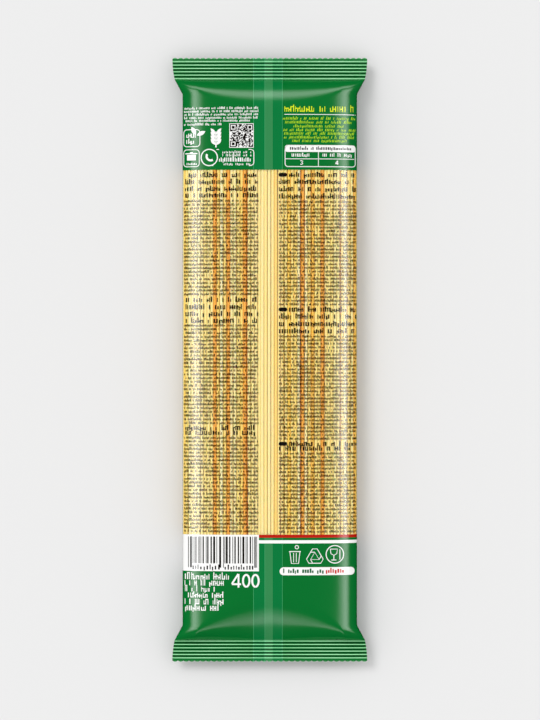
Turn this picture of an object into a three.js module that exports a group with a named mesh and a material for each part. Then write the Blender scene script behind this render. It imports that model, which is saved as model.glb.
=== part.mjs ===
import * as THREE from 'three';

// A 400 g packet of thin spaghetti: a pillow bag of film, sealed along its back and
// crimped at both ends. It lies on its front with the back seam up.
// Millimetres. X runs across the packet, Y along the strands and Z up; the origin is
// on the table under the packet's middle.

// The whole packet
const LENGTH = 290;
const BODY_WIDTH = 83.6;
const CRIMP_WIDTH = 93.6;

// Heights above the table of the filled part and of the flat ends
const STRANDS_TOP = 19.6;
const BODY_WIDEST_HEIGHT = 9.5;
const CRIMP_HEIGHT = 8;
const CRIMP_DROOP = 1;

// The filled part: how square its section is, and how far the table presses it flat
const BODY_SQUARENESS = 2.7;
const UNDERSIDE_PRESSED = 1;

// The ends: a ribbed crimp, a straight flare beside it and a rounded shoulder behind. The
// shoulder is longest on the middle line, more so at the bottom end, -Y, where the film is
// slack, and shortest past its reach, a share of the half width
const CRIMP_THICKNESS = 0.4;
const CRIMP_TAPER = 1.1;
const CRIMP_SQUARENESS = 40;
const FLARE_LENGTH = 7.3;
const TOP_SHOULDER = 15;
const BOTTOM_SHOULDER = 24;
const SIDE_SHOULDER = 7;
const SHOULDER_REACH = 0.8;
const SHOULDER_BULGE = 0.9;
const BOTTOM_STEEPENING = 0.7;
const SHOULDER_STEPS = 12;

// The ribs across each crimp
const RIB_COUNT = 6;
const RIB_PITCH = 1.62;
const RIB_HEIGHT = 0.7;
const FIRST_RIB = 1.92;
const CRIMP_LENGTH = FIRST_RIB + (RIB_COUNT - 0.75) * RIB_PITCH;

// The scalloped cut edge
const TOOTH_COUNT = 35;
const TOOTH_DEPTH = 0.6;
const TOOTH_STEPS = 4;

// The back seam: a folded band with a narrow sealed strip along it
const SEAM_LEFT = -8.1;
const SEAM_RIGHT = 6.3;
const SEAM_RISE = 0.3;
const STRIP_LEFT = -2.7;
const STRIP_RIGHT = 1.6;
const STRIP_RISE = 0.1;
const STEP_WIDTH = 0.2;

// The strands that press through the film
const STRAND_PITCH = 1.5;
const STRAND_RELIEF = 0.3;
const TOP_STRANDS_REACH = 37.5;
const LOWER_STRANDS_START = 27;
const RELIEF_FADE = 2.5;

const SMOOTH_COLUMNS = 36;
const CRIMP_COLUMNS = 6;

const END = LENGTH / 2;
const TOOTH_PITCH = CRIMP_WIDTH / TOOTH_COUNT;

// Distances called inset are measured from the tips of the cut edge towards the middle,
// and a side is 1 at the top end and -1 at the bottom end.

// Half the packet's width: barrelled along the crimp, straight down the flare, even after
function halfWidth(inset) {
  const crimpHalf = CRIMP_WIDTH / 2;
  if (inset <= CRIMP_LENGTH) {
    return crimpHalf - CRIMP_TAPER * (inset / CRIMP_LENGTH) ** 2;
  }
  const along = Math.min((inset - CRIMP_LENGTH) / FLARE_LENGTH, 1);
  return THREE.MathUtils.lerp(crimpHalf - CRIMP_TAPER, BODY_WIDTH / 2, along);
}

const longestShoulder = (side) => (side > 0 ? TOP_SHOULDER : BOTTOM_SHOULDER);
const shoulderEnd = (side) => CRIMP_LENGTH + longestShoulder(side);

// Length of the shoulder at one place across the packet
function shoulderLength(x, inset, side) {
  const across = Math.min(Math.abs(x) / halfWidth(inset) / SHOULDER_REACH, 1);
  const share = (1 - across ** 2) ** SHOULDER_BULGE;
  return THREE.MathUtils.lerp(SIDE_SHOULDER, longestShoulder(side), share);
}

// How full the packet is: 0 at the crimp, 1 past the shoulder. The strands press the film
// out to a quarter of an ellipse at the top end; the slack bottom end is a quarter sine
// wave on the middle line and rises steeper from the crimp towards the sides
function fullness(x, inset, side) {
  const length = shoulderLength(x, inset, side);
  const along = THREE.MathUtils.clamp((inset - CRIMP_LENGTH) / length, 0, 1);
  if (side > 0) {
    return Math.sqrt(1 - (1 - along) ** 2);
  }
  const across = Math.abs(x) / halfWidth(inset);
  return Math.sin(along * Math.PI / 2) ** (1 - BOTTOM_STEEPENING * across);
}

// Height of the section's widest line, where the upper film meets the lower
function widestHeight(x, inset, side) {
  if (inset >= CRIMP_LENGTH) {
    return THREE.MathUtils.lerp(CRIMP_HEIGHT, BODY_WIDEST_HEIGHT, fullness(x, inset, side));
  }
  return CRIMP_HEIGHT - CRIMP_DROOP * (1 - inset / CRIMP_LENGTH);
}

// Superellipse from 1 on the middle line to 0 at the side
function swell(x, inset) {
  const power = inset <= CRIMP_LENGTH ? CRIMP_SQUARENESS : BODY_SQUARENESS;
  const across = Math.min(Math.abs(x) / halfWidth(inset), 1);
  return (1 - across ** power) ** (1 / power);
}

// The crimp's ribs, as a wave that lifts both films alike
function ribWave(inset) {
  if (inset <= FIRST_RIB - 0.75 * RIB_PITCH || inset >= CRIMP_LENGTH) {
    return 0;
  }
  return RIB_HEIGHT / 2 * Math.cos(2 * Math.PI * (inset - FIRST_RIB) / RIB_PITCH);
}

// A plateau between two edges, each a short slope
function plateau(x, left, right) {
  const rising = THREE.MathUtils.clamp((x - left) / STEP_WIDTH + 0.5, 0, 1);
  const falling = THREE.MathUtils.clamp((right - x) / STEP_WIDTH + 0.5, 0, 1);
  return Math.min(rising, falling);
}

function seamRise(x) {
  return SEAM_RISE * plateau(x, SEAM_LEFT, SEAM_RIGHT)
    + STRIP_RISE * plateau(x, STRIP_LEFT, STRIP_RIGHT);
}

// Depth of the grooves between neighbouring strands, none under the seam or at the ends
function strandGroove(x, inset, side) {
  const fade = THREE.MathUtils.clamp((inset - shoulderEnd(side)) / RELIEF_FADE, 0, 1);
  const outside = 1 - plateau(x, SEAM_LEFT, SEAM_RIGHT);
  return STRAND_RELIEF * fade * outside * (0.5 - 0.5 * Math.cos(2 * Math.PI * x / STRAND_PITCH));
}

function upperPoint(x, inset, side, y) {
  const rise = THREE.MathUtils.lerp(
    CRIMP_THICKNESS / 2, STRANDS_TOP - BODY_WIDEST_HEIGHT, fullness(x, inset, side));
  const full = swell(x, inset);
  const groove = Math.abs(x) <= TOP_STRANDS_REACH ? strandGroove(x, inset, side) : 0;
  const relief = full > 0 ? seamRise(x) - groove : 0;
  const middle = widestHeight(x, inset, side) + ribWave(inset);
  return new THREE.Vector3(x, y, middle + rise * full + relief);
}

function lowerPoint(x, inset, side, y) {
  const drop = THREE.MathUtils.lerp(
    CRIMP_THICKNESS / 2, BODY_WIDEST_HEIGHT + UNDERSIDE_PRESSED, fullness(x, inset, side));
  const full = swell(x, inset);
  const aside = Math.abs(x) >= LOWER_STRANDS_START && Math.abs(x) <= TOP_STRANDS_REACH;
  const groove = aside ? strandGroove(x, inset, side) : 0;
  const height = widestHeight(x, inset, side) + ribWave(inset) - drop * full + groove;
  return new THREE.Vector3(x, y, Math.max(height, 0));
}

// Columns of a plain section, close together at the sides where the film turns down
function roundedColumns(half, count) {
  const xs = [];
  for (let i = 0; i <= count; i++) {
    const turn = Math.PI * i / count;
    const across = Math.abs(Math.cos(turn)) ** (2 / BODY_SQUARENESS);
    xs.push(-half * Math.sign(Math.cos(turn)) * across);
  }
  return xs;
}

function crimpColumns(half, count) {
  const edge = CRIMP_THICKNESS;
  const xs = [-half];
  for (let i = 0; i <= count; i++) {
    xs.push(THREE.MathUtils.lerp(-half + edge, half - edge, i / count));
  }
  xs.push(half);
  return xs;
}

// One column on every strand's crest and one in every groove between two strands
function strandColumns(from, to) {
  const step = STRAND_PITCH / 2;
  const xs = [];
  for (let i = Math.ceil(from / step); i * step <= to; i++) {
    xs.push(i * step);
  }
  return xs;
}

function seamColumns() {
  const xs = [];
  for (const edge of [SEAM_LEFT, STRIP_LEFT, STRIP_RIGHT, SEAM_RIGHT]) {
    xs.push(edge - STEP_WIDTH / 2, edge + STEP_WIDTH / 2);
  }
  return xs;
}

const onSeam = (x) => x > SEAM_LEFT - STEP_WIDTH && x < SEAM_RIGHT + STEP_WIDTH;
const ascending = (a, b) => a - b;

function upperColumns(inset, side) {
  const half = halfWidth(inset);
  if (inset <= CRIMP_LENGTH) {
    const flat = crimpColumns(half, CRIMP_COLUMNS).filter((x) => !onSeam(x));
    return [...flat, ...seamColumns()].sort(ascending);
  }
  let xs = roundedColumns(half, SMOOTH_COLUMNS);
  if (inset > shoulderEnd(side)) {
    const outer = xs.filter((x) => Math.abs(x) > TOP_STRANDS_REACH + STRAND_PITCH / 3);
    xs = [...outer, ...strandColumns(-TOP_STRANDS_REACH, TOP_STRANDS_REACH)];
  }
  return [...xs.filter((x) => !onSeam(x)), ...seamColumns()].sort(ascending);
}

function lowerColumns(inset, side) {
  const half = halfWidth(inset);
  if (inset <= CRIMP_LENGTH) {
    return crimpColumns(half, CRIMP_COLUMNS);
  }
  const xs = roundedColumns(half, SMOOTH_COLUMNS);
  if (inset <= shoulderEnd(side)) {
    return xs;
  }
  const clear = STRAND_PITCH / 3;
  const plain = xs.filter((x) => {
    const aside = Math.abs(x);
    return aside < LOWER_STRANDS_START - clear || aside > TOP_STRANDS_REACH + clear;
  });
  const left = strandColumns(-TOP_STRANDS_REACH, -LOWER_STRANDS_START);
  const right = strandColumns(LOWER_STRANDS_START, TOP_STRANDS_REACH);
  return [...left, ...plain, ...right].sort(ascending);
}

// A column's place along its section: 0 to 1 up to the seam, 1 to 2 over it, 2 to 3 after
function placeAcross(x, half) {
  if (x <= SEAM_LEFT) {
    return (x + half) / (SEAM_LEFT + half);
  }
  if (x <= SEAM_RIGHT) {
    return 1 + (x - SEAM_LEFT) / (SEAM_RIGHT - SEAM_LEFT);
  }
  return 2 + (x - SEAM_RIGHT) / (half - SEAM_RIGHT);
}

// A section at one inset from the end on one side: its upper and its lower film, each from
// the left edge to the right one, which they share
function section(inset, side) {
  const half = halfWidth(inset);
  const y = side * (END - inset);
  const row = (xs, point) => xs.map((x) => ({
    at: point(x, inset, side, y),
    place: placeAcross(x, half),
  }));
  return {
    upper: row(upperColumns(inset, side), upperPoint),
    lower: row(lowerColumns(inset, side), lowerPoint),
  };
}

// The cut edge: rounded tips and pointed notches, both films cut together
function cutEdge(side) {
  const half = CRIMP_WIDTH / 2;
  const steps = TOOTH_COUNT * TOOTH_STEPS;
  const toothXs = [];
  for (let i = 0; i <= steps; i++) {
    toothXs.push(THREE.MathUtils.lerp(-half, half, i / steps));
  }
  const notch = (x) => TOOTH_DEPTH * (1 - Math.abs(Math.cos(Math.PI * x / TOOTH_PITCH)));
  const row = (xs, point) => xs.map((x) => ({
    at: point(x, 0, side, side * (END - notch(x))),
    place: placeAcross(x, half),
  }));
  const offSteps = (x) => seamColumns().every((edge) => Math.abs(edge - x) > STEP_WIDTH);
  return {
    upper: row([...toothXs.filter(offSteps), ...seamColumns()].sort(ascending), upperPoint),
    lower: row(toothXs, lowerPoint),
  };
}

// Fills between two rows of points, taking the next point of the row that lags behind
function zip(first, second, triangles) {
  const add = (a, b, c) => {
    if (!a.at.equals(b.at) && !b.at.equals(c.at) && !c.at.equals(a.at)) {
      triangles.push(a.at, b.at, c.at);
    }
  };
  let i = 0;
  let j = 0;
  while (i < first.length - 1 || j < second.length - 1) {
    const nextFirst = i < first.length - 1 ? first[i + 1].place : Infinity;
    const nextSecond = j < second.length - 1 ? second[j + 1].place : Infinity;
    if (nextFirst <= nextSecond) {
      add(first[i], first[i + 1], second[j]);
      i += 1;
    } else {
      add(first[i], second[j + 1], second[j]);
      j += 1;
    }
  }
}

// Insets of the sections at one end, from the foot of the teeth to the even body, closest
// where the shoulder leaves the crimp
function endInsets(side) {
  const insets = [TOOTH_DEPTH + STEP_WIDTH];
  for (let k = 0; k < RIB_COUNT; k++) {
    const crest = FIRST_RIB + k * RIB_PITCH;
    insets.push(crest - RIB_PITCH / 2, crest);
  }
  insets.push(CRIMP_LENGTH);
  for (let k = 1; k <= SHOULDER_STEPS; k++) {
    const turn = Math.PI / 2 * k / SHOULDER_STEPS;
    insets.push(CRIMP_LENGTH + longestShoulder(side) * (1 - Math.cos(turn)));
  }
  insets.push(shoulderEnd(side) + RELIEF_FADE);
  return insets;
}

function packetGeometry() {
  const near = endInsets(-1).map((inset) => section(inset, -1));
  const far = endInsets(1).map((inset) => section(inset, 1)).reverse();
  const rows = [cutEdge(-1), ...near, section(END, 1), ...far, cutEdge(1)];
  const triangles = [];
  for (let k = 0; k + 1 < rows.length; k++) {
    zip(rows[k].upper, rows[k + 1].upper, triangles);
    zip(rows[k + 1].lower, rows[k].lower, triangles);
  }
  const last = rows[rows.length - 1];
  zip(rows[0].lower, rows[0].upper, triangles);
  zip(last.upper, last.lower, triangles);
  const geometry = new THREE.BufferGeometry().setFromPoints(triangles);
  geometry.computeVertexNormals();
  return geometry;
}

function printedFilm() {
  return new THREE.MeshStandardMaterial({ color: 0x00742d, roughness: 0.3, metalness: 0 });
}

const packet = new THREE.Mesh(packetGeometry(), printedFilm());
packet.name = 'pasta_packet';

const group = new THREE.Group();
group.add(packet);

export default group;
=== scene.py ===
import bpy
import numpy as np
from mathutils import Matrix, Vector


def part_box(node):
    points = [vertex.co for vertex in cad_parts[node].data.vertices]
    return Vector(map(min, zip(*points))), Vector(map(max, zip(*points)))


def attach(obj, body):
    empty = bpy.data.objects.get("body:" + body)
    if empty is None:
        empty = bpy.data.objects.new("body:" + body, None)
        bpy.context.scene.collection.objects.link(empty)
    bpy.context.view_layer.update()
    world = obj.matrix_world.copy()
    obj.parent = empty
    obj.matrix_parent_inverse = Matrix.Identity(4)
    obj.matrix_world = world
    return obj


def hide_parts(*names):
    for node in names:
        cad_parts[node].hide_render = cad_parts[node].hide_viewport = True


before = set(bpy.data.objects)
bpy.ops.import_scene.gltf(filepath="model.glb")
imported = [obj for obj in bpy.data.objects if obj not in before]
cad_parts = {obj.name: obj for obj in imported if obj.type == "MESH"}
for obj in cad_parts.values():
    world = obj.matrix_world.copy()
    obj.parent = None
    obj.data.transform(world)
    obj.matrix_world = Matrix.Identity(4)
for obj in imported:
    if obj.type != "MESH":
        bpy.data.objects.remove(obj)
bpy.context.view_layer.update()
packet_low, packet_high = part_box("pasta_packet")

MM = 0.001


# The bundle of spaghetti: about 570 straight strands of dried durum pasta, extruded
# through bronze, 1.6 mm thick and cut to 245 mm. They fill the bag side by side, and
# the film holds them in the shape of a flat, rounded bar.

END = packet_high.y / MM
CRIMP_HALF = packet_high.x / MM
FIRST_RIB = 1.92
RIB_PITCH = 1.62
RIB_COUNT = 6
CRIMP_LENGTH = FIRST_RIB + (RIB_COUNT - 0.75) * RIB_PITCH
CRIMP_TAPER = 1.1
CRIMP_HEIGHT = 8.0
CRIMP_DROOP = 1.0
FLARE_LENGTH = 7.3
BODY_HALF = 41.8
WIDEST_HEIGHT = 9.5
STRANDS_TOP = 19.6
UNDERSIDE_PRESSED = 1.0
SQUARENESS = 2.7
TOP_SHOULDER = 15.0
BOTTOM_SHOULDER = 24.0
SIDE_SHOULDER = 7.0
SHOULDER_REACH = 0.8
SHOULDER_BULGE = 0.9
BOTTOM_STEEPENING = 0.7

STRAND_RADIUS = 0.8
RADIUS_SPREAD = (0.92, 1.03)
STRAND_LENGTH = 245.0
STRAND_SPACING = 1.65
LAYER_SPACING = 1.4
LAYERS = 6
FILM_CLEARANCE = 0.12
BUNDLE_SHIFT = 2.5
STRAND_SIDES = 8
STRAND_STATIONS = 9
CURVE_POINTS = 4001

SPACING_SPREAD = 0.07
WIDE_GAP_SHARE = 0.2
WIDE_GAP = (0.1, 0.4)
SKEW = 0.22
BOW = 0.16
LENGTH_SPREAD = 1.5
DEEPEST_SUNK = 0.22
DEPTH_PAINTED_GLOW = 0.95
AMBER_SHARE = 0.12
TONE_CURVE = (1.1, 1.35)
DARKEST_PLAIN = 0.9
UNDER_SEAM_HALF = 8.0
SEAM_HAZE_TONE = 0.2
SEAM_HAZE_SPREAD = 0.4


def inset_of(y):
    """How far a place is from the cut edge of the nearer end."""
    return END - np.abs(y)


def half_width(y):
    """Half the packet's width: a shallow parabola along the crimp, a straight line down
    the flare beside the shoulder, and constant along the body."""
    inset = inset_of(y)
    crimp = CRIMP_HALF - CRIMP_TAPER * (np.clip(inset, 0, CRIMP_LENGTH) / CRIMP_LENGTH) ** 2
    along = np.clip((inset - CRIMP_LENGTH) / FLARE_LENGTH, 0, 1)
    return crimp + (BODY_HALF - (CRIMP_HALF - CRIMP_TAPER)) * along


def shoulder_length(x, y):
    """Length of the shoulder from crimp to body: longest on the middle line, where the film
    is drawn down in a ramp, and falling towards the sides almost as a parabola: one less
    the square of the place across, to the power of the bulge."""
    across = np.clip(np.abs(x) / half_width(y) / SHOULDER_REACH, 0, 1)
    middle = np.where(y > 0, TOP_SHOULDER, BOTTOM_SHOULDER)
    return SIDE_SHOULDER + (middle - SIDE_SHOULDER) * (1 - across**2) ** SHOULDER_BULGE


def fullness(x, y):
    """0 at the crimp and 1 past the shoulder: a quarter of an ellipse at the top end, where
    the strands press against the film, and of a sine wave at the slacker bottom end, which
    a power of less than one makes steeper from the crimp towards the sides."""
    along = np.clip((inset_of(y) - CRIMP_LENGTH) / shoulder_length(x, y), 0, 1)
    power = 1 - BOTTOM_STEEPENING * np.abs(x) / half_width(y)
    pressed_out = np.sqrt(1 - (1 - along) ** 2)
    return np.where(y > 0, pressed_out, np.sin(along * np.pi / 2) ** power)


def widest_height(x, y):
    """Height of the surface where the upper film meets the lower one: level along the body,
    sinking over the shoulder and drooping in a straight line along the crimp."""
    droop = CRIMP_DROOP * (1 - np.clip(inset_of(y) / CRIMP_LENGTH, 0, 1))
    return CRIMP_HEIGHT + (WIDEST_HEIGHT - CRIMP_HEIGHT) * fullness(x, y) - droop


def swell(across):
    """Superellipse: 1 on the middle line and 0 at the sides, where across is -1 or 1."""
    return (1 - np.clip(np.abs(across), 0, 1) ** SQUARENESS) ** (1 / SQUARENESS)


def layer_curve(depth):
    """Closed curve of one layer of strands, depth inside the film: the bag's superellipse
    with both half axes shortened by depth and its foot cut off level above the table.
    Returns its points and their distance along it."""
    turn = np.linspace(0, 2 * np.pi, CURVE_POINTS)
    x = np.sign(np.cos(turn)) * np.abs(np.cos(turn)) ** (2 / SQUARENESS)
    z = np.sign(np.sin(turn)) * np.abs(np.sin(turn)) ** (2 / SQUARENESS)
    up = STRANDS_TOP - WIDEST_HEIGHT - depth
    down = WIDEST_HEIGHT + UNDERSIDE_PRESSED - depth
    x = x * (BODY_HALF - depth)
    z = np.maximum(WIDEST_HEIGHT + np.where(z > 0, up, down) * z, depth)
    along = np.concatenate([[0], np.cumsum(np.hypot(np.diff(x), np.diff(z)))])
    return x, z, along


def strand_paths(rng):
    """Centre lines of all strands, layer by layer: stations along Y, each strand keeping
    its place on its layer's curve but for a slight skew and bow, with a wider gap after
    some. Returns the points as strands by stations by XYZ, and each strand's layer."""
    stations = np.linspace(-0.5, 0.5, STRAND_STATIONS)
    paths, layers = [], []
    for layer in range(LAYERS):
        depth = FILM_CLEARANCE + STRAND_RADIUS + layer * LAYER_SPACING
        x, z, along = layer_curve(depth)
        count = int(along[-1] / STRAND_SPACING)
        gaps = rng.uniform(1 - SPACING_SPREAD, 1 + SPACING_SPREAD, count)
        gaps += np.where(rng.random(count) < WIDE_GAP_SHARE, rng.uniform(*WIDE_GAP, count), 0)
        places = np.cumsum(gaps) / gaps.sum() * along[-1]
        skew = rng.normal(0, SKEW, (count, 1)) * stations
        bow = rng.normal(0, BOW, (count, 1)) * (4 * stations**2 - 0.5)
        drift = (places[:, None] + skew + bow) % along[-1]
        length = STRAND_LENGTH + rng.uniform(-LENGTH_SPREAD, LENGTH_SPREAD, (count, 1))
        y = BUNDLE_SHIFT + length * stations
        height = np.interp(drift, along, z) - WIDEST_HEIGHT
        sunk = rng.uniform(0, DEEPEST_SUNK, (count, 1)) * np.sign(height)
        place = np.interp(drift, along, x)
        lowered = widest_height(place, y) + (height - sunk) * fullness(place, y)
        paths.append(np.stack([place, y, lowered], axis=-1))
        layers.append(np.full(count, layer))
    return np.concatenate(paths), np.concatenate(layers)


def tubes(paths, radii, sides):
    """Round strands: a regular polygon of the strand's radius at each station, joined to
    the next by quads, with a flat polygon on each end. Returns the points and the faces as
    a list of arrays, one for each number of corners."""
    strands, stations = paths.shape[:2]
    turn = np.arange(sides) * 2 * np.pi / sides
    ring = np.stack([np.cos(turn), np.zeros(sides), np.sin(turn)], axis=-1)
    points = paths[:, :, None, :] + radii[:, None, None, None] * ring
    index = np.arange(strands * stations * sides).reshape(strands, stations, sides)
    after = np.roll(index, -1, axis=2)
    walls = np.stack([index[:, :-1], index[:, 1:], after[:, 1:], after[:, :-1]], axis=-1)
    near = index[:, 0]
    far = index[:, -1, ::-1]
    return points.reshape(-1, 3), [walls.reshape(-1, 4), near, far]


def make_mesh(name, points, faces, smooth=True):
    """A mesh object from points in millimetres and arrays of faces, each array holding
    faces of one number of corners."""
    mesh = bpy.data.meshes.new(name)
    corners = np.concatenate([f.ravel() for f in faces]).astype(np.int32)
    sizes = np.concatenate([np.full(len(f), f.shape[1]) for f in faces])
    starts = np.concatenate([[0], np.cumsum(sizes)[:-1]]).astype(np.int32)
    mesh.vertices.add(len(points))
    mesh.vertices.foreach_set("co", (points * MM).astype(np.float32).ravel())
    mesh.loops.add(len(corners))
    mesh.loops.foreach_set("vertex_index", corners)
    mesh.polygons.add(len(starts))
    mesh.polygons.foreach_set("loop_start", starts)
    mesh.update(calc_edges=True)
    mesh.polygons.foreach_set("use_smooth", np.full(len(starts), smooth))
    piece = bpy.data.objects.new(name, mesh)
    bpy.context.scene.collection.objects.link(piece)
    return piece


def linear(hex_colour):
    """An sRGB hex colour as linear red, green, blue and alpha."""
    srgb = [int(hex_colour[i:i + 2], 16) / 255 for i in (1, 3, 5)]
    return [c / 12.92 if c <= 0.04045 else ((c + 0.055) / 1.055) ** 2.4 for c in srgb] + [1.0]


def new_material(name):
    """An empty node material, with the node that its last shader links to."""
    material = bpy.data.materials.new(name)
    material.use_nodes = True
    tree = material.node_tree
    tree.nodes.clear()
    return material, tree, tree.nodes.new("ShaderNodeOutputMaterial")


def add_node(tree, kind, settings=None, inputs=None, links=None):
    """Adds a node, sets its properties and its sockets' values, and links its sockets from
    other nodes' outputs."""
    node = tree.nodes.new(kind)
    for key, value in (settings or {}).items():
        setattr(node, key, value)
    for key, value in (inputs or {}).items():
        node.inputs[key].default_value = value
    for key, source in (links or {}).items():
        tree.links.new(source, node.inputs[key])
    return node


def dried_pasta():
    """Dried durum pasta: a smooth, faintly translucent yellow rod, waxy rather than glossy.
    Each strand has a tone from pale to amber, and the inner layers are painted amber, for the
    warm light that bounces between the strands. Sockets 6 and 7 are the mix node's two colours."""
    material, tree, output = new_material("dried_durum_pasta")
    depth = add_node(tree, "ShaderNodeAttribute", {"attribute_name": "painted_depth_glow"})
    tone = add_node(tree, "ShaderNodeAttribute", {"attribute_name": "strand_tone"})
    tones = add_node(tree, "ShaderNodeValToRGB", {}, {}, {"Fac": tone.outputs["Fac"]})
    ramp = tones.color_ramp
    ramp.elements[0].color = linear("#fff4c0")
    ramp.elements[1].color = linear("#fbac2c")
    ramp.elements.new(0.35).color = linear("#ffe388")
    ramp.elements.new(0.7).color = linear("#ffcd48")
    # Painted light: by their depth the inner strands lean to amber, for the warm light bounced
    # between the strands.
    colour = add_node(tree, "ShaderNodeMix", {"data_type": "RGBA"}, {
        7: linear("#ffac1e"),
    }, {0: depth.outputs["Fac"], 6: tones.outputs["Color"]})
    coordinates = add_node(tree, "ShaderNodeTexCoord")
    stretched = add_node(tree, "ShaderNodeMapping", {}, {
        "Scale": (900, 60, 900),
    }, {"Vector": coordinates.outputs["Object"]})
    speckle = add_node(tree, "ShaderNodeTexNoise", {}, {
        "Scale": 1.0, "Detail": 3.0,
    }, {"Vector": stretched.outputs["Vector"]})
    relief = add_node(tree, "ShaderNodeBump", {}, {
        "Strength": 0.12, "Distance": 0.00005,
    }, {"Height": speckle.outputs["Fac"]})
    shader = add_node(tree, "ShaderNodeBsdfPrincipled", {}, {
        "Roughness": 0.4,
        "IOR": 1.5,
        "Subsurface Weight": 0.3,
        "Subsurface Radius": (1.0, 0.6, 0.2),
        "Subsurface Scale": 0.0015,
    }, {"Base Color": colour.outputs[2], "Normal": relief.outputs["Normal"]})
    tree.links.new(shader.outputs["BSDF"], output.inputs["Surface"])
    return material


rng = np.random.default_rng(185)
paths, layers = strand_paths(rng)
radii = STRAND_RADIUS * rng.uniform(*RADIUS_SPREAD, len(paths))
points, faces = tubes(paths, radii, STRAND_SIDES)
spaghetti = make_mesh("spaghetti", points, faces)
per_strand = STRAND_STATIONS * STRAND_SIDES
# Each strand's painted glow by its layer, 0 for the outer layer.
painted_glow_values = np.repeat(np.clip(layers * DEPTH_PAINTED_GLOW, 0, 1), per_strand)
amber = rng.random(len(paths)) < AMBER_SHARE
tones = np.where(amber, 1.0, rng.beta(*TONE_CURVE, len(paths)) * DARKEST_PLAIN)

# Painted haze: under the seam the strands are painted paler and their tones evened out, for the
# light that the doubled film scatters.
painted_seam_haze = np.abs(paths[:, 0, 0]) < UNDER_SEAM_HALF
tones[painted_seam_haze] = SEAM_HAZE_TONE + SEAM_HAZE_SPREAD * tones[painted_seam_haze]
tone_values = np.repeat(tones, per_strand)
for attribute, values in (("painted_depth_glow", painted_glow_values), ("strand_tone", tone_values)):
    layer_data = spaghetti.data.attributes.new(attribute, "FLOAT", "POINT")
    layer_data.data.foreach_set("value", values.astype(np.float32))
spaghetti.data.materials.append(dried_pasta())
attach(spaghetti, "root")


# The bag: one sheet of clear polypropylene film, wrapped round the strands, sealed along
# the back and crimped at both ends. Both ends are printed green inside the film, the
# middle is left clear, and a white panel and thin stripes close the window below.

WINDOW_TOP = 90.7
WINDOW_BOTTOM = -83.5
PANEL_BOTTOM = -100.9
PANEL_RIGHT = -5.2
PANEL_WRAP = 4.0
RED_STRIPE_BOTTOM = -84.9
WHITE_STRIPE = (-87.6, -86.1)

SEAM_LEFT = -8.1
SEAM_RIGHT = 6.3
SEAM_RISE = 0.1
STRIP_LEFT = -2.7
STRIP_RIGHT = 1.6
STRIP_RISE = 0.05
STEP_WIDTH = 0.4
FOLD_LINE = 0.42

FILM_THICKNESS = 0.26
RIB_HEIGHT = 0.55
RIB_SHARPNESS = 3
CRIMP_FLATNESS = 60
RIPPLE_HEIGHT = 0.035

# Painted light on the crimps: highlight on the rib crests and shade in the valleys.
HIGHLIGHT_SHARPNESS = 9
HIGHLIGHT_MIDDLE = 0.86
HIGHLIGHT_ASIDE = 0.2
BRIGHTEST_HIGHLIGHT_PLACE = 0.65
CUT_EDGE_PALENESS = 0.6
PLAIN_INK = 0.2
PLAIN_MARGIN = 0.05

TOOTH_COUNT = 35
TOOTH_DEPTH = 0.6
TEETH_FOOT = 0.65
COLUMNS = 168
RIB_ROW = 0.2
SHOULDER_ROW = 0.8
BODY_ROW = 2.4
STRAIGHT_COLUMNS = 12.0
BORDER_CLEARANCE = 0.5


def plateau(x, left, right):
    """1 between two edges and 0 outside, with a short slope at each edge."""
    return np.clip(np.minimum((x - left) / STEP_WIDTH, (right - x) / STEP_WIDTH) + 0.5, 0, 1)


def rib_crest(y, sharpness):
    """1 on the crimp's ribs and 0 between them: a power of a cosine's absolute value, which
    leaves narrow round crests with wider valleys between them."""
    phase = np.pi * (inset_of(y) - FIRST_RIB) / RIB_PITCH
    first = FIRST_RIB - RIB_PITCH / 2
    last = CRIMP_LENGTH + RIB_PITCH / 4
    inside = (inset_of(y) > first) & (inset_of(y) < last)
    return np.where(inside, np.abs(np.cos(phase)) ** sharpness, 0)


def crimp_painted_light(x, y):
    """Painted light on the ink of the crimps: a painted highlight on the crests, brighter two
    thirds of the way out to each side as a painted reflection of the lamps, and 0 is painted
    shade in the valleys. Flat film outside the crimps is at one fifth, which keeps the plain ink,
    and the cut edge is paler."""
    aside = np.sin(np.pi / 2 * np.clip(x / (BRIGHTEST_HIGHLIGHT_PLACE * CRIMP_HALF), -2, 2)) ** 2
    crest = rib_crest(y, HIGHLIGHT_SHARPNESS) * (HIGHLIGHT_MIDDLE + HIGHLIGHT_ASIDE * aside)
    edge = np.clip(1 - inset_of(y) / TEETH_FOOT, 0, 1)
    ribbed = (inset_of(y) > FIRST_RIB) & (inset_of(y) < CRIMP_LENGTH)
    shaded = np.where(ribbed, crest, np.maximum(crest, PLAIN_INK))
    return np.maximum(shaded, CUT_EDGE_PALENESS * edge)


def ripple(x, y):
    """Slack of the film over the strands: three long, low waves that cross at an angle."""
    return RIPPLE_HEIGHT * (
        np.sin(x / 3.1 + y / 23.0)
        + np.sin(x / 4.7 - y / 31.0 + 1.3)
        + np.sin(y / 17.0 + x / 9.0 + 0.4)
    ) * fullness(x, y)


def swell_at(x, y):
    """The section's superellipse at a place on the film: along the crimps the film is flat
    right up to its edges."""
    across = x / half_width(y)
    flat = 1 - np.clip(np.abs(across), 0, 1) ** CRIMP_FLATNESS
    return np.where(inset_of(y) <= CRIMP_LENGTH, flat, swell(across))


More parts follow.
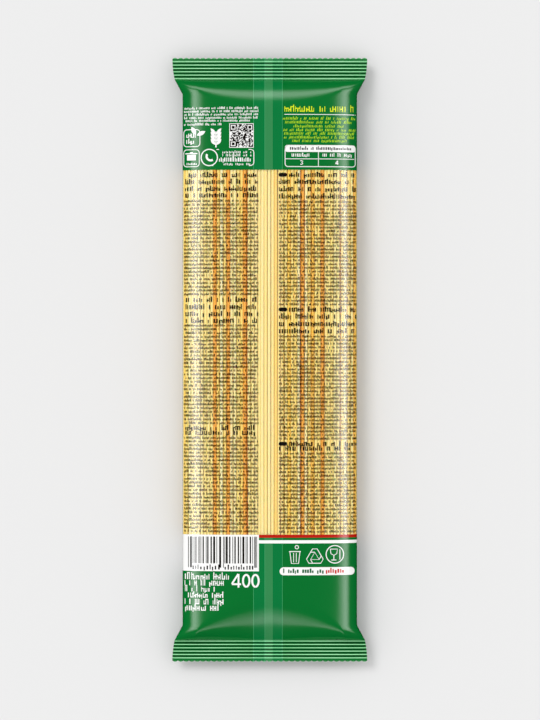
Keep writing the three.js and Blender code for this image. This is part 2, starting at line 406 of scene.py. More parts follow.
def upper_film(x, y):
    """Height of the film that faces up: the widest line's height, plus the section's
    superellipse, the crimp's ribs, the ripples and the steps of the seam."""
    half_film = FILM_THICKNESS / 2
    rise = half_film + (STRANDS_TOP - WIDEST_HEIGHT - half_film) * fullness(x, y)
    full = swell_at(x, y)
    seam = SEAM_RISE * plateau(x, SEAM_LEFT, SEAM_RIGHT)
    seam += STRIP_RISE * plateau(x, STRIP_LEFT, STRIP_RIGHT)
    slack = (ripple(x, y) + seam) * np.clip(full * 2, 0, 1)
    return widest_height(x, y) + RIB_HEIGHT * rib_crest(y, RIB_SHARPNESS) + rise * full + slack


def lower_film(x, y):
    """Height of the film that faces down: the same section below the widest line, cut off
    level where it lies on the table."""
    half_film = FILM_THICKNESS / 2
    drop = half_film + (WIDEST_HEIGHT + UNDERSIDE_PRESSED - half_film) * fullness(x, y)
    middle = widest_height(x, y) + RIB_HEIGHT * rib_crest(y, RIB_SHARPNESS)
    return np.maximum(middle - drop * swell_at(x, y), 0)


def body_columns():
    """Columns across the body, evenly spaced along the film's curve, with the borders of
    the seam and of the print among them."""
    x, z, along = layer_curve(0)
    half = slice(0, len(x) // 2 + 1)
    even = np.linspace(0, along[half][-1], COLUMNS + 1)
    xs = -np.interp(even, along[half], x[half])
    borders = [PANEL_RIGHT]
    for edge in (SEAM_LEFT, STRIP_LEFT, STRIP_RIGHT, SEAM_RIGHT):
        borders += [edge - STEP_WIDTH / 2, edge + STEP_WIDTH / 2]
    borders += [SEAM_LEFT + FOLD_LINE, SEAM_RIGHT - FOLD_LINE, STRIP_LEFT + FOLD_LINE]
    clear = np.abs(xs[:, None] - np.array(borders)).min(axis=1) > STEP_WIDTH / 2
    clear[[0, -1]] = True
    return np.sort(np.concatenate([xs[clear], borders]))


def end_rows():
    """Insets of the rows of one end: fine over the ribs, coarser over the shoulder."""
    ribs = np.arange(TEETH_FOOT, CRIMP_LENGTH + RIB_PITCH / 2, RIB_ROW)
    shoulder = np.arange(ribs[-1] + SHOULDER_ROW, CRIMP_LENGTH + BOTTOM_SHOULDER + 2, SHOULDER_ROW)
    return np.concatenate([ribs, shoulder])


def film_rows():
    """Y of every row of the film, with the borders of the print among them."""
    ends = end_rows()
    body = np.arange(-END + ends[-1] + BODY_ROW, END - ends[-1] - BODY_ROW / 2, BODY_ROW)
    rows = np.concatenate([-END + ends, body, END - ends])
    borders = np.array([WINDOW_TOP, WINDOW_BOTTOM, PANEL_BOTTOM, RED_STRIPE_BOTTOM, *WHITE_STRIPE])
    clear = np.abs(rows[:, None] - borders).min(axis=1) > BORDER_CLEARANCE
    return np.sort(np.concatenate([rows[clear], borders]))


def film_x(columns, y):
    """Where the columns run at one end: straight near the seam, spread further out with
    the packet's width."""
    outward = np.clip((np.abs(columns) - STRAIGHT_COLUMNS) / (BODY_HALF - STRAIGHT_COLUMNS), 0, 1)
    return columns + np.sign(columns) * (half_width(y) - BODY_HALF) * outward


def cut_edge(columns, side):
    """Points of the scalloped cut edge, two for each column: round tips, as a cosine's
    absolute value, with pointed notches between them. Returns their X and Y."""
    fine = np.interp(np.arange(2 * len(columns) - 1) / 2, np.arange(len(columns)), columns)
    x = film_x(fine, side * END)
    notch = TOOTH_DEPTH * (1 - np.abs(np.cos(np.pi * x * TOOTH_COUNT / (2 * CRIMP_HALF))))
    return x, side * (END - notch)


def film_surface():
    """The whole bag as one closed surface: an upper and a lower grid that share their side
    columns, and at each cut edge a finer row, joined three triangles to a column, with a
    thin rim between the films. Returns points, faces, and for each face its middle and
    whether it is on the upper film."""
    columns, rows = body_columns(), film_rows()
    y = np.repeat(rows[:, None], len(columns), axis=1)
    x = film_x(columns[None, :], rows[:, None])
    upper = np.stack([x, y, upper_film(x, y)], axis=-1)
    lower = np.stack([x, y, lower_film(x, y)], axis=-1)[:, 1:-1]
    up_index = np.arange(upper[..., 0].size).reshape(upper.shape[:2])
    low_index = up_index.copy()
    low_index[:, 1:-1] = up_index.size + np.arange(lower[..., 0].size).reshape(lower.shape[:2])
    points = [upper.reshape(-1, 3), lower.reshape(-1, 3)]
    count = up_index.size + lower[..., 0].size

    def quads(index, turned):
        a, b, c, d = index[:-1, :-1], index[:-1, 1:], index[1:, 1:], index[1:, :-1]
        around = (a, d, c, b) if turned else (a, b, c, d)
        return np.stack(around, axis=-1).reshape(-1, 4)

    up_quads, low_quads = quads(up_index, False), quads(low_index, True)
    up_edges, low_edges, rims = [], [], []
    for side, row in ((-1, 0), (1, -1)):
        ex, ey = cut_edge(columns, side)
        edge_up = np.stack([ex, ey, upper_film(ex, ey)], axis=-1)
        edge_low = np.stack([ex, ey, lower_film(ex, ey)], axis=-1)[1:-1]
        bu = count + np.arange(len(ex))
        bl = bu.copy()
        bl[1:-1] = count + len(ex) + np.arange(len(ex) - 2)
        points += [edge_up, edge_low]
        count += len(ex) + len(ex) - 2
        for inner, outer, kept, facing in (
            (up_index[row], bu, up_edges, 1), (low_index[row], bl, low_edges, -1),
        ):
            a, b = inner[:-1], inner[1:]
            p, q, r = outer[:-2:2], outer[1:-1:2], outer[2::2]
            fan = np.concatenate([
                np.stack([a, p, q], -1), np.stack([a, q, b], -1), np.stack([b, q, r], -1),
            ])
            kept.append(fan if side * facing < 0 else fan[:, ::-1])
        rim = np.stack([bu[:-1], bl[:-1], bl[1:], bu[1:]], axis=-1)[1:-1]
        tips = np.array([[bu[0], bl[1], bu[1]], [bu[-2], bl[-2], bu[-1]]])
        rims.append((rim if side < 0 else rim[:, ::-1], tips if side < 0 else tips[:, ::-1]))
    points = np.concatenate(points)
    faces = [up_quads, low_quads, *up_edges, *low_edges]
    is_upper = [True, False, True, True, False, False]
    for rim, tips in rims:
        faces += [rim, tips]
        is_upper += [True, True]
    middles = np.concatenate([points[f].mean(axis=1) for f in faces])
    upward = np.concatenate([np.full(len(f), u) for f, u in zip(faces, is_upper)])
    return points, faces, middles, upward


def glossy_print(name, hex_colour, ior=1.5):
    """Ink printed on the inside of the film: an even, opaque colour under smooth, glossy
    polypropylene. Along the crimps its colour holds painted light: a painted highlight makes
    it paler on the ribs and painted shade darker between them, where the film also has less
    gloss. A faint orange peel softens the lamps that the film mirrors."""
    material, tree, output = new_material(name)
    colour = linear(hex_colour)
    painted_light_attribute = add_node(tree, "ShaderNodeAttribute", {"attribute_name": "crimp_painted_light"})
    tones = add_node(tree, "ShaderNodeValToRGB", {}, {}, {"Fac": painted_light_attribute.outputs["Fac"]})
    ramp = tones.color_ramp
    # Painted shade at 0 for the crimps' valleys, painted highlight at 0.7 and above for their
    # crests.
    ramp.elements[0].color = [0.42 * c for c in colour[:3]] + [1]
    ramp.elements[1].color = [min(0.58 + 2.9 * c, 0.96) for c in colour[:3]] + [1]
    ramp.elements.new(PLAIN_INK - PLAIN_MARGIN).color = colour
    ramp.elements.new(PLAIN_INK + PLAIN_MARGIN).color = colour
    ramp.elements.new(0.7).color = [min(0.2 + 3.2 * c, 0.95) for c in colour[:3]] + [1]
    gloss = add_node(tree, "ShaderNodeMapRange", {}, {
        "From Max": PLAIN_INK - PLAIN_MARGIN, "To Min": 0.1, "To Max": 0.5,
    }, {"Value": painted_light_attribute.outputs["Fac"]})
    coordinates = add_node(tree, "ShaderNodeTexCoord")
    peel = add_node(tree, "ShaderNodeTexNoise", {}, {
        "Scale": 220.0, "Detail": 2.0,
    }, {"Vector": coordinates.outputs["Object"]})
    relief = add_node(tree, "ShaderNodeBump", {}, {
        "Strength": 0.05, "Distance": 0.0002,
    }, {"Height": peel.outputs["Fac"]})
    shader = add_node(tree, "ShaderNodeBsdfPrincipled", {}, {
        "Roughness": 0.17,
        "IOR": ior,
    }, {
        "Base Color": tones.outputs["Color"],
        "Specular IOR Level": gloss.outputs["Result"],
        "Normal": relief.outputs["Normal"],
    })
    tree.links.new(shader.outputs["BSDF"], output.inputs["Surface"])
    return material


def clear_film(name, haze, roughness=0.16):
    """Clear polypropylene film: both its faces mirror a few hundredths of the light, more
    at a glancing angle, and haze is the share that it scatters white. Faint streaks along
    the web, 4 mm apart, come from drawing the film, and make its gloss and haze uneven."""
    material, tree, output = new_material(name)
    coordinates = add_node(tree, "ShaderNodeTexCoord")
    along_web = add_node(tree, "ShaderNodeMapping", {}, {
        "Scale": (250, 25, 250),
    }, {"Vector": coordinates.outputs["Object"]})
    streaks = add_node(tree, "ShaderNodeTexNoise", {}, {
        "Scale": 1.0, "Detail": 2.0,
    }, {"Vector": along_web.outputs["Vector"]})
    relief = add_node(tree, "ShaderNodeBump", {}, {
        "Strength": 0.04, "Distance": 0.0002,
    }, {"Height": streaks.outputs["Fac"]})
    facing = add_node(tree, "ShaderNodeLayerWeight", {}, {"Blend": 0.5})
    steep = add_node(tree, "ShaderNodeMath", {"operation": "POWER"}, {
        1: 4.0,
    }, {0: facing.outputs["Facing"]})
    share = add_node(tree, "ShaderNodeMath", {"operation": "MULTIPLY_ADD"}, {
        1: 0.5, 2: 0.07,
    }, {0: steep.outputs[0]})
    through = add_node(tree, "ShaderNodeBsdfTransparent", {}, {"Color": linear("#fffffe")})
    mirror = add_node(tree, "ShaderNodeBsdfGlossy", {}, {
        "Roughness": roughness,
    }, {"Normal": relief.outputs["Normal"]})
    film = add_node(tree, "ShaderNodeMixShader", {}, {}, {
        0: share.outputs[0], 1: through.outputs[0], 2: mirror.outputs[0],
    })
    milk = add_node(tree, "ShaderNodeBsdfDiffuse", {}, {"Color": linear("#fffef6")})
    uneven = add_node(tree, "ShaderNodeMath", {"operation": "MULTIPLY"}, {
        1: 2 * haze,
    }, {0: streaks.outputs["Fac"]})
    mixed = add_node(tree, "ShaderNodeMixShader", {}, {}, {
        0: uneven.outputs[0], 1: film.outputs[0], 2: milk.outputs[0],
    })
    tree.links.new(mixed.outputs[0], output.inputs["Surface"])
    return material


FILM_MATERIALS = [
    clear_film("clear_polypropylene_film", 0.01),
    clear_film("clear_film_doubled_at_the_seam", 0.06),
    glossy_print("green_ink_under_film", "#006b29"),
    glossy_print("green_ink_doubled_at_the_seam", "#017337"),
    glossy_print("green_ink_on_the_sealed_strip", "#31824b"),
    # Paler lines along the seam's edges: painted highlights where the raised film catches the
    # light.
    glossy_print("green_ink_with_painted_fold_highlight", "#3d9560"),
    glossy_print("white_ink_under_film", "#ececea"),
    glossy_print("red_ink_under_film", "#b11304"),
]
CLEAR, CLEAR_SEAM, GREEN, GREEN_SEAM, GREEN_STRIP, GREEN_FOLD_HIGHLIGHT, WHITE, RED = range(8)


def film_field(middles, upward):
    """The print's fields by the middle of each face: clear in the window, green at both ends with
    its seam lighter and painted highlights along its fold lines, the white panel and the two thin
    stripes below the window."""
    x, y = middles[:, 0], middles[:, 1]
    on_seam = upward & (x > SEAM_LEFT) & (x < SEAM_RIGHT)
    on_strip = on_seam & (x > STRIP_LEFT) & (x < STRIP_RIGHT)
    on_fold_highlight = on_seam & (
        (x < SEAM_LEFT + FOLD_LINE) | (x > SEAM_RIGHT - FOLD_LINE)
        | ((x > STRIP_LEFT) & (x < STRIP_LEFT + FOLD_LINE))
    )
    window = (y < WINDOW_TOP) & (y > WINDOW_BOTTOM)
    beside_panel = ~upward | (x > PANEL_RIGHT)
    wrapped = upward | (x < -BODY_HALF + PANEL_WRAP)
    panel = wrapped & (x < PANEL_RIGHT) & (y < WINDOW_BOTTOM) & (y > PANEL_BOTTOM)
    stripe = (y > WHITE_STRIPE[0]) & (y < WHITE_STRIPE[1]) & beside_panel
    red = (y < WINDOW_BOTTOM) & (y > RED_STRIPE_BOTTOM) & beside_panel
    return np.select(
        [window & on_seam, window, panel, stripe, red, on_fold_highlight, on_strip, on_seam],
        [CLEAR_SEAM, CLEAR, WHITE, WHITE, RED, GREEN_FOLD_HIGHLIGHT, GREEN_STRIP, GREEN_SEAM],
        GREEN,
    )


points, faces, middles, upward = film_surface()
film_bag = make_mesh("film_bag", points, faces)
for material in FILM_MATERIALS:
    film_bag.data.materials.append(material)
film_bag.data.polygons.foreach_set("material_index", film_field(middles, upward).astype(np.int32))
# Painted light for the crimps' ink, held on each point of the film.
painted_light_attribute = film_bag.data.attributes.new("crimp_painted_light", "FLOAT", "POINT")
painted_light_attribute.data.foreach_set("value", crimp_painted_light(points[:, 0], points[:, 1]).astype(np.float32))
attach(film_bag, "root")
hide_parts("pasta_packet")


# The print on the back, in black on the clear window and in white and yellow on the green
# ends: plain bars in rows for type, boxes, a table, two codes and pictograms. All of it is
# ink, laid 0.05 mm above the film, or 0.1 mm where one ink lies over another.

INK_LIFT = 0.05
OVERPRINT_LIFT = 0.1
PRINT_EDGE = 41.5
PRINT_STEP = 0.9
CORNER_POINTS = 5
ROUND_END_POINTS = 6
LEAF_POINTS = 9
ZERO_POINTS = 25
RING_POINTS = 40

STROKE_SHARE = 0.19
STEM_SPREAD = (0.7, 1.5)
GAP_SPREAD = (0.7, 1.3)
WORD_GAP = 2.2
JOINED_GAP = 1.4
HANGING_SHARE = 0.08
HANGING_DEPTH = 0.25
SHORT_BELOW = 0.3
SHORT_HEIGHT = 0.72
TALL_ABOVE = 0.86
TALL_HEIGHT = 1.3


def bar(left, bottom, right, top):
    """A rectangle, cut into strips narrow enough to follow the film."""
    left, right = max(left, -PRINT_EDGE), min(right, PRINT_EDGE)
    xs = np.linspace(left, right, max(2, int(np.ceil((right - left) / PRINT_STEP)) + 1))
    lower = np.stack([xs, np.full(len(xs), bottom)], axis=-1)
    upper = np.stack([xs, np.full(len(xs), top)], axis=-1)
    return strip(lower, upper)


def strip(lower, upper):
    """Quads between two lines with the same number of points."""
    return np.stack([lower[:-1], lower[1:], upper[1:], upper[:-1]], axis=1)


def stroke(line, width, closed=False):
    """A line of even width: quads along its points, each point widened square to the line
    through its neighbours."""
    line = np.asarray(line, dtype=float)
    ahead, behind = np.roll(line, -1, axis=0), np.roll(line, 1, axis=0)
    if not closed:
        ahead[-1], behind[0] = line[-1], line[0]
    along = ahead - behind
    along /= np.linalg.norm(along, axis=1, keepdims=True)
    out = np.stack([-along[:, 1], along[:, 0]], axis=-1) * width / 2
    lower, upper = line - out, line + out
    if closed:
        lower, upper = np.vstack([lower, lower[:1]]), np.vstack([upper, upper[:1]])
    return strip(lower, upper)


def rounded_outline(left, bottom, right, top, radius):
    """Points round a rectangle with round corners, close enough to follow the film."""
    turn = np.linspace(0, np.pi / 2, CORNER_POINTS)
    corner = np.stack([np.cos(turn), np.sin(turn)], axis=-1) * radius
    centres = [(right - radius, top - radius), (left + radius, top - radius),
               (left + radius, bottom + radius), (right - radius, bottom + radius)]
    quarter_turn = np.array([[0, -1], [1, 0]])
    points = []
    for number, centre in enumerate(centres):
        spun = corner @ np.linalg.matrix_power(quarter_turn, number).T
        points.append(spun + centre)
    corners = np.concatenate(points)
    ahead = np.roll(corners, -1, axis=0)
    lengths = np.linalg.norm(ahead - corners, axis=1)
    pieces = np.maximum(np.ceil(lengths / PRINT_STEP), 1).astype(int)
    share = np.concatenate([np.arange(n) / n for n in pieces])[:, None]
    behind = np.repeat(corners, pieces, axis=0)
    return behind * (1 - share) + np.repeat(ahead, pieces, axis=0) * share


def ring(x, y, radius, width):
    """A circle's outline."""
    turn = np.linspace(0, 2 * np.pi, RING_POINTS, endpoint=False)
    line = np.stack([x + radius * np.cos(turn), y + radius * np.sin(turn)], axis=-1)
    return stroke(line, width, True)


def leaf(x, y, length, width, angle):
    """A leaf or a grain: two half sine waves back to back, turned by an angle."""
    along = np.linspace(0, 1, LEAF_POINTS)
    half = np.sin(np.pi * along) * width / 2
    lower = np.stack([along * length, -half], axis=-1)
    upper = np.stack([along * length, half], axis=-1)
    turn = np.radians(angle)
    spin = np.array([[np.cos(turn), np.sin(turn)], [-np.sin(turn), np.cos(turn)]])
    return strip(lower @ spin + (x, y), upper @ spin + (x, y))


def filled_round(left, bottom, right, top, radius):
    """A bar with round ends or corners, as upright strips between its outlines."""
    turn = np.linspace(0, np.pi / 2, ROUND_END_POINTS)
    ends = radius * (1 - np.cos(turn))
    flat = np.linspace(left + radius, right - radius, max(2, int((right - left) / PRINT_STEP)))
    xs = np.concatenate([left + ends, flat[1:-1], (right - ends)[::-1]])
    from_end = np.clip(np.minimum(xs - left, right - xs), 0, radius)
    trim = radius - np.sqrt(radius**2 - (radius - from_end) ** 2)
    return strip(np.stack([xs, bottom + trim], -1), np.stack([xs, top - trim], -1))


def boxes(lefts, rights, lows, highs, slants=0.0):
    """Quads from arrays of their sides, with the upper edges moved aside by the slants."""
    corners = [(lefts, lows), (rights, lows), (rights + slants, highs), (lefts + slants, highs)]
    return np.stack([np.stack(corner, axis=-1) for corner in corners], axis=1)


def type_row(left, right, bottom, height, stem, gap, word, lean=0.0, joined=0.0):
    """A row of plain upright bars in groups, as small type looks from afar: stem and gap
    are a bar's width and the room after it, and word is the mean length of a group. Some
    bars are short or tall, and a few of the short ones hang below the row. joined is the
    share of neighbouring bars with a level stroke across them, at foot, middle or head."""
    count = int((right - left) / (stem + gap) * 1.5)
    stems = stem * ink_rng.uniform(*STEM_SPREAD, count)
    gaps = gap * ink_rng.uniform(*GAP_SPREAD, count)
    gaps[ink_rng.random(count) < 1 / word] += WORD_GAP * gap + stem
    starts = left + np.concatenate([[0], np.cumsum(stems + gaps)[:-1]])
    kept = (starts + stems < right) & (starts > -PRINT_EDGE) & (starts + stems < PRINT_EDGE)
    starts, stems = starts[kept], stems[kept]
    ends = starts + stems
    kind = ink_rng.random(len(starts))
    low = bottom - np.where(kind < HANGING_SHARE, HANGING_DEPTH * height, 0)
    tall_or_short = [kind > TALL_ABOVE, kind < SHORT_BELOW]
    high = bottom + height * np.select(tall_or_short, [TALL_HEIGHT, SHORT_HEIGHT], 1.0)
    bars = boxes(starts, ends, low, high, lean * (high - low))
    if not joined:
        return bars
    thickness = STROKE_SHARE * height
    close = starts[1:] - ends[:-1] < JOINED_GAP * gap
    chosen = close & (ink_rng.random(len(close)) < joined)
    room = np.minimum(high[:-1], high[1:]) - bottom - thickness
    foot = (bottom + ink_rng.choice([0, 0.5, 1], len(room)) * room)[chosen]
    strokes = boxes(starts[:-1][chosen], ends[1:][chosen], foot, foot + thickness)
    return np.concatenate([bars, strokes])


def type_rows(left, right, first, last, pitch, height, stem, gap, word):
    """Rows of type one below the other, from the first row's middle down to the last's, a
    pitch apart as nearly as that allows."""
    rows = np.linspace(first, last, int(round((first - last) / pitch)) + 1)
    return [type_row(left, right, y - height / 2, height, stem, gap, word) for y in rows]


def numeral(lines, left, bottom, width, height, thickness):
    """A plain numeral: its strokes stretched from the unit square to its place."""
    placed = [np.array(line) * (width, height) + (left, bottom) for line in lines]
    return np.concatenate([stroke(line, thickness) for line in placed])


ink_rng = np.random.default_rng(400)
LINE = 0.36

# Numerals as strokes in a unit square.
turn = np.linspace(0, 2 * np.pi, ZERO_POINTS)
ZERO = [np.stack([0.5 - 0.5 * np.sin(turn), 0.5 - 0.5 * np.cos(turn)], axis=-1)]
FOUR = [[(0.7, 1), (0, 0.27)], [(0, 0.25), (1, 0.25)], [(0.72, 0), (0.72, 1)]]
THREE = [[(0, 0.9), (0.5, 1), (0.95, 0.78), (0.5, 0.53), (1, 0.25), (0.5, 0), (0, 0.1)]]

# Black type in the window: two columns, each of three notes that open with larger type,
# in the right column behind a solid oval. Heights are the middles of the rows.
SMALL = dict(height=1.0, stem=0.26, gap=0.21, word=9)
SMALL_PITCH = 1.76
HEADING = dict(height=1.95, stem=0.48, gap=0.54, word=7, joined=0.6)
HEADING_DROP = 1.05
OVAL_ROOM = 4.8
LEFT_COLUMN = (-PRINT_EDGE, -5.4)
RIGHT_COLUMN = (4.4, PRINT_EDGE)
LEFT_HEADINGS = ((88.3, 85.0, 81.7, 78.6), (28.7, 25.2, 21.9, 18.7), (-32.5, -34.8))
RIGHT_HEADINGS = ((88.3, 85.0, 81.5, 78.0), (24.0, 20.7, 17.1, 13.7), (-40.1, -42.3))
LEFT_NOTES = ((75.9, 31.4), (16.4, -30.2), (-37.2, -81.8))
RIGHT_NOTES = ((75.4, 26.5), (11.2, -37.6), (-44.7, -82.0))
black = []
for rows in LEFT_HEADINGS:
    for y in rows:
        black.append(type_row(*LEFT_COLUMN, y - HEADING_DROP, **HEADING))
for rows in RIGHT_HEADINGS:
    for y in rows:
        left = RIGHT_COLUMN[0] + (OVAL_ROOM if y == rows[0] else 0)
        black.append(type_row(left, RIGHT_COLUMN[1], y - HEADING_DROP, **HEADING))
    black.append(filled_round(4.2, rows[0] - 0.9, 8.3, rows[0] + 0.9, 0.85))
for first, last in LEFT_NOTES:
    black += type_rows(*LEFT_COLUMN, first, last, SMALL_PITCH, **SMALL)
for first, last in RIGHT_NOTES:
    black += type_rows(*RIGHT_COLUMN, first, last, SMALL_PITCH, **SMALL)

# The bar code on its white panel: bars and spaces of one to three modules, longer guard
# bars at both ends and in the middle, and a row of small marks below.
CODE_LEFT = -39.1
CODE_WIDTH = 33.0
CODE_TOP = -84.4
CODE_FOOT = -97.2
GUARD_FOOT = -99.2
GUARDS = (0, 2, 28, 30, 56, 58)
modules = ink_rng.choice([1, 1, 1, 2, 2, 3], 59)
edges = CODE_LEFT + np.concatenate([[0], np.cumsum(modules)]) * CODE_WIDTH / modules.sum()
for number in range(0, len(modules), 2):
    foot = GUARD_FOOT if number in GUARDS else CODE_FOOT
    black.append(bar(edges[number], foot, edges[number + 1], CODE_TOP))
for left, right in ((-37.0, -23.4), (-21.6, -7.4)):
    black.append(type_row(left, right, -100.1, 1.8, 0.5, 0.75, 60))

# White print on the upper end, left of the seam: six rows of small type.
white = []
TOP_ROWS = ((120.2, -5.4), (118.7, -5.4), (117.2, -5.4), (115.6, -5.4), (114.2, -9.2),
            (112.5, -22.4))
for y, right in TOP_ROWS:
    white.append(type_row(-PRINT_EDGE, right, y - 0.5, 0.9, 0.25, 0.22, 9))

# A rounded box with two short rows of type and two leaves over its corner.
white.append(stroke(rounded_outline(-41.2, 101.9, -33.4, 110.0, 1.5), LINE, True))
for y in (106.2, 103.3):
    white.append(type_row(-39.9, -35.2, y, 1.9, 0.42, 0.5, 60, joined=0.6))
white += [leaf(-35.3, 107.6, 4.3, 2.0, 120), leaf(-34.9, 107.2, 4.6, 2.0, 25)]

# An ear of wheat: a stalk with four pairs of grains.
white.append(stroke([(-25.7, 101.4), (-25.7, 107.5), (-25.7, 109.0)], 0.6))
for y in (102.6, 104.3, 106.0, 107.7):
    white += [leaf(-25.4, y, 3.6, 1.5, 52), leaf(-26.0, y, 3.6, 1.5, 128)]

# A square code of scattered black modules on white, with a framed square in three corners.
CODE_SIDE = 11.0
CODE_MODULES = 25
FINDER = 7
dark = ink_rng.random((CODE_MODULES, CODE_MODULES)) < 0.58
finder = np.pad(np.pad(np.ones((3, 3), bool), 1), 1, constant_values=True)
far = CODE_MODULES - FINDER
for row, column in ((0, 0), (far, 0), (far, far)):
    dark[row:row + FINDER, column:column + FINDER] = finder
column_row = np.argwhere(dark)[:, ::-1]
square = np.array([(0, 0), (1, 0), (1, 1), (0, 1)])
speckle = (column_row[:, None] + square) * CODE_SIDE / CODE_MODULES + (-19.0, 101.5)
white.append(bar(-19.3, 101.2, -7.7, 112.8))

# A rounded box with a pot, its lid and a short row of type.
white.append(stroke(rounded_outline(-41.2, 92.3, -33.7, 100.4, 1.5), LINE, True))
white += [bar(-39.6, 95.3, -35.4, 98.0), bar(-40.4, 98.3, -34.6, 98.8)]
white.append(bar(-38.2, 98.8, -36.8, 99.3))
white.append(type_row(-39.8, -34.8, 93.1, 1.0, 0.4, 0.3, 9))

# A telephone in a ring, with a bracket round four rows of type beside it.
white.append(ring(-28.9, 96.6, 3.9, 0.5))
turn = np.radians(np.linspace(150, 300, 12))
handset = np.stack([-28.2 + 2.0 * np.cos(turn), 97.2 + 2.0 * np.sin(turn)], axis=-1)
white.append(stroke(handset, 1.0))
white.append(stroke([(-25.4, 100.4), (-9.0, 100.4), (-7.9, 99.9), (-7.6, 99.0), (-7.6, 94.1),
                     (-7.9, 93.2), (-9.0, 92.7), (-27.6, 92.7)], LINE))
NUMBER_ROWS = ((98.6, 1.0, -22.6, 0.3), (97.1, 1.0, -22.6, 0.3),
               (94.6, 1.9, -24.2, 0.5), (92.9, 1.0, -22.0, 0.3))
for y, height, left, stem in NUMBER_ROWS:
    white.append(type_row(left, -8.6, y, height, stem, 0.4, 9))

# Right of the seam: a thin rule, and a table with a solid heading, two columns with a row
# of type each, and the minutes below them.
white.append(bar(7.0, 116.95, 41.0, 117.25))
white.append(filled_round(7.2, 99.2, 41.0, 102.5, 1.2))
white.append(stroke(rounded_outline(7.3, 92.2, 40.9, 102.3, 1.4), LINE, True))
white += [bar(7.2, 95.75, 41.0, 96.05), bar(23.05, 92.2, 23.35, 99.2)]
for left, right in ((10.4, 20.6), (25.2, 39.6)):
    white.append(type_row(left, right, 97.0, 1.4, 0.36, 0.4, 7, joined=0.5))
white.append(numeral(THREE, 14.6, 93.2, 1.2, 1.9, 0.4))
white.append(numeral(FOUR, 31.4, 93.2, 1.4, 1.9, 0.4))

# White print on the lower end: six rows of type and the weight in large numerals.
WEIGHT_ROWS = ((-102.3, -104.9, -18.8), (-105.5, -107.8, -21.6), (-108.4, -110.7, -24.0),
               (-111.3, -113.6, -21.6), (-114.2, -116.8, -21.2), (-117.5, -119.8, -23.8))
for top, bottom, right in WEIGHT_ROWS:
    white.append(type_row(-PRINT_EDGE, right, bottom, top - bottom, 0.36, 0.52, 7, joined=0.6))
white.append(numeral(FOUR, -18.1, -108.7, 4.4, 6.5, 0.85))
for left in (-12.8, -8.4):
    white.append(numeral(ZERO, left, -108.3, 3.1, 5.7, 0.9))

# A bin with a ball above it.
white.append(stroke([(9.6, -91.6), (10.3, -97.2), (13.7, -97.2), (14.4, -91.6)], LINE))
white += [bar(9.2, -91.7, 14.8, -91.3), bar(11.2, -96.6, 11.5, -92.2)]
white.append(bar(12.5, -96.6, 12.8, -92.2))
white.append(ring(12.9, -89.4, 0.8, 0.35))

# A triangle of three folded bands: an outline with clipped corners, a smaller one inside
# it, and a short line across each band.
triangle = np.array([(0, 5.6), (-5.1, -3.2), (5.1, -3.2)]) + (21.5, -93.9)
hub = triangle.mean(axis=0)
sides = list(zip(triangle, np.roll(triangle, -1, axis=0)))
clipped = [start + (end - start) * share for start, end in sides for share in (0.22, 0.78)]
white.append(stroke(clipped, LINE, True))
white.append(stroke(hub + (triangle - hub) * 0.4, LINE, True))
for start, end in sides:
    fold = start + (end - start) * 0.4
    white.append(stroke([fold, hub + (start - hub) * 0.4], LINE))

# A cup and a knife in a ring.
white.append(ring(31.1, -92.9, 4.2, 0.45))
cup = [(28.9, -90.4), (29.2, -92.6), (30.6, -93.4), (32.0, -92.6), (32.3, -90.4), (28.9, -90.4)]
white.append(stroke(cup, LINE))
white += [bar(30.4, -95.4, 30.8, -93.4), bar(29.4, -95.8, 31.8, -95.4)]
white.append(bar(33.3, -95.4, 33.7, -90.6))

# The solid pill under them.
white.append(filled_round(4.7, -102.8, 40.6, -99.0, 1.85))

# Yellow print: the larger heading, and seven centred lines of slanting type below it.
yellow = [type_row(7.0, PRINT_EDGE, 118.4, 2.6, 0.38, 0.66, 12, joined=0.6)]
LIME_MIDDLE = 23.6
LIME_ROWS = ((115.2, 17.4), (113.4, 16.4), (111.5, 12.4), (109.7, 17.2), (108.0, 16.8),
             (106.2, 16.9), (104.5, 13.0))
lime = []
for y, half in LIME_ROWS:
    left, right = LIME_MIDDLE - half, LIME_MIDDLE + half
    lime.append(type_row(left, right, y - 0.6, 1.15, 0.3, 0.34, 6, lean=0.25))

# Ink over the white fields: the square code, the table's heading and the line in the pill.
over_black = [speckle, type_row(9.6, 39.4, 100.2, 1.3, 0.4, 0.32, 8)]
over_green = [type_row(6.4, 26.0, -101.7, 1.6, 0.6, 0.36, 8)]
over_red = [type_row(26.8, 36.0, -101.7, 1.8, 0.65, 0.4, 30)]


def ink_layer(name, hex_colour, quads, lift, ior=1.5):
    """One ink: all its quads laid on the film, a little above it."""
    flat = np.concatenate(quads).reshape(-1, 2)
    heights = upper_film(flat[:, 0], flat[:, 1]) + lift
    points = np.column_stack([flat, heights])
    layer = make_mesh(name, points, [np.arange(len(points)).reshape(-1, 4)])
    # The inks get no painted light: they keep the plain ink's colour.
    painted_light_level = layer.data.attributes.new("crimp_painted_light", "FLOAT", "POINT")
    painted_light_level.data.foreach_set("value", np.full(len(points), PLAIN_INK, dtype=np.float32))
    layer.data.materials.append(glossy_print(name + "_ink", hex_colour, ior))
    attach(layer, "root")


ink_layer("black_print", "#14110c", black, INK_LIFT, ior=1.75)
ink_layer("white_print", "#ececea", white, INK_LIFT)
ink_layer("yellow_print", "#d2e21c", yellow, INK_LIFT)
ink_layer("lime_print", "#a6d120", lime, INK_LIFT)
ink_layer("black_overprint", "#14110c", over_black, OVERPRINT_LIFT)
ink_layer("green_overprint", "#0c5a32", over_green, OVERPRINT_LIFT)
ink_layer("red_overprint", "#c3200f", over_red, OVERPRINT_LIFT)


# The studio: a pale floor under an even sky, and a broad sun from the upper left for the
# soft shadow. None of them shows in the gloss: two soft lamps beside the packet and one
# past each end do, and those light nothing else.

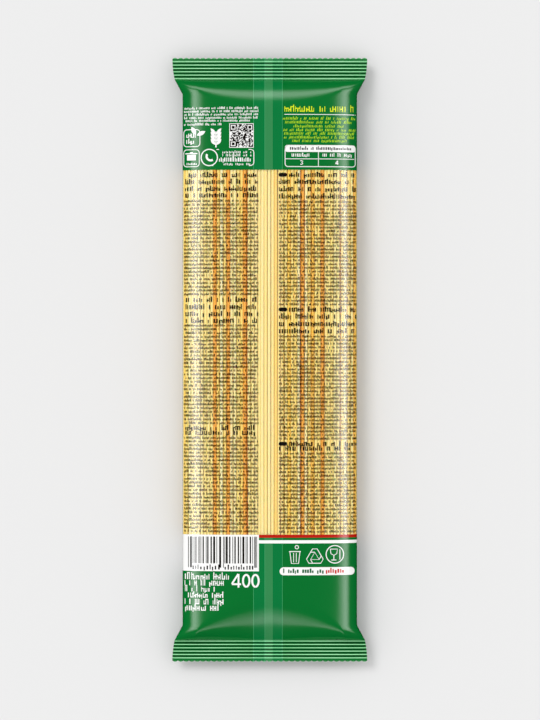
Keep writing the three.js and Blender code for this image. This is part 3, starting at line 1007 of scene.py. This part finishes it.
FLOOR_HALF = 3.0
FLOOR_GAP = 0.00005
LAMP_DISTANCE = 0.9
PANEL_STEP = 0.02
SUN_IRRADIANCE = 0.27
SUN_WIDTH_DEGREES = 25
SUN_DIRECTION = Vector((0.45, -0.45, -0.77))
SKY_RADIANCE = 0.985

floor_points = np.array([
    [-FLOOR_HALF, -FLOOR_HALF, 0], [FLOOR_HALF, -FLOOR_HALF, 0],
    [FLOOR_HALF, FLOOR_HALF, 0], [-FLOOR_HALF, FLOOR_HALF, 0],
]) / MM
floor = make_mesh("floor", floor_points, [np.array([[0, 1, 2, 3]])], smooth=False)
floor.location.z = -FLOOR_GAP
floor_paint, floor_tree, floor_output = new_material("matt_pale_floor")
floor_shader = add_node(floor_tree, "ShaderNodeBsdfDiffuse", {}, {"Color": linear("#d8d8d8")})
floor_tree.links.new(floor_shader.outputs[0], floor_output.inputs["Surface"])
floor.data.materials.append(floor_paint)
floor.visible_glossy = False


def soft_box(name, toward, panels):
    """A softbox that the film mirrors, brighter in its middle: panels one before the other,
    each a rectangle that faces the packet. toward is the side it stands on, and each panel
    has the angles from straight up to its two edges, its length and its radiance."""
    for number, (near, far, length, radiance) in enumerate(panels):
        middle = np.radians((near + far) / 2)
        direction = Vector((*(np.array(toward) * np.sin(middle)), np.cos(middle)))
        place = direction * (LAMP_DISTANCE - PANEL_STEP * number)
        light = bpy.data.lights.new(f"{name}_{number}", "AREA")
        light.shape = "RECTANGLE"
        light.size = length
        light.size_y = 2 * place.length * np.tan(np.radians((far - near) / 2))
        light.energy = radiance * np.pi * light.size * light.size_y
        lamp = bpy.data.objects.new(light.name, light)
        lamp.location = place
        lamp.rotation_mode = "QUATERNION"
        lamp.rotation_quaternion = (-place).to_track_quat("-Z", "Y")
        lamp.visible_diffuse = False
        bpy.context.scene.collection.objects.link(lamp)


SIDE_PANELS = [(38, 47, 0.55, 1.9), (34, 51, 0.7, 1.9), (29.5, 55.5, 0.9, 1.9)]
TOP_PANELS = [(46, 60, 1.2, 1.4), (42, 64, 1.3, 1.3), (37, 69, 1.4, 1.3)]
BOTTOM_PANELS = [(62, 70.5, 0.3, 0.8), (57, 71.5, 0.36, 0.75), (50.5, 72.5, 0.42, 0.7)]
soft_box("lamp_left", (-1, 0), SIDE_PANELS)
soft_box("lamp_right", (1, 0), SIDE_PANELS)
soft_box("lamp_top", (0, 1), TOP_PANELS)
soft_box("lamp_bottom", (0, -1), BOTTOM_PANELS)

sun_light = bpy.data.lights.new("sun", "SUN")
sun_light.energy = np.pi * SUN_IRRADIANCE / -SUN_DIRECTION.z
sun_light.angle = np.radians(SUN_WIDTH_DEGREES)
sun = bpy.data.objects.new("sun", sun_light)
sun.rotation_mode = "QUATERNION"
sun.rotation_quaternion = SUN_DIRECTION.to_track_quat("-Z", "Y")
sun.visible_glossy = False
bpy.context.scene.collection.objects.link(sun)

world = bpy.data.worlds.new("studio")
world.use_nodes = True
world.cycles_visibility.glossy = False
bpy.context.scene.world = world
sky = world.node_tree.nodes["Background"]
sky.inputs["Color"].default_value = (1, 1, 1, 1)
sky.inputs["Strength"].default_value = SKY_RADIANCE


# The camera looks straight down with a long lens, with the packet upright in its view.

LENS = 200.0
SENSOR = 36.0
FAR_CLIP = 20.0
OFF_AXIS = 0.0001
MM_PER_PIXEL = 0.48
VIEW_HEIGHT = 720
camera_data = bpy.data.cameras.new("camera")
camera_data.lens = LENS
camera_data.sensor_width = SENSOR
camera_data.clip_end = FAR_CLIP
camera = bpy.data.objects.new("camera", camera_data)
distance = VIEW_HEIGHT * MM_PER_PIXEL * MM * LENS / SENSOR
camera.location = (OFF_AXIS, -OFF_AXIS, distance + CRIMP_HEIGHT * MM)
bpy.context.scene.collection.objects.link(camera)
bpy.context.scene.camera = camera
bpy.context.scene.view_settings.view_transform = "Standard"
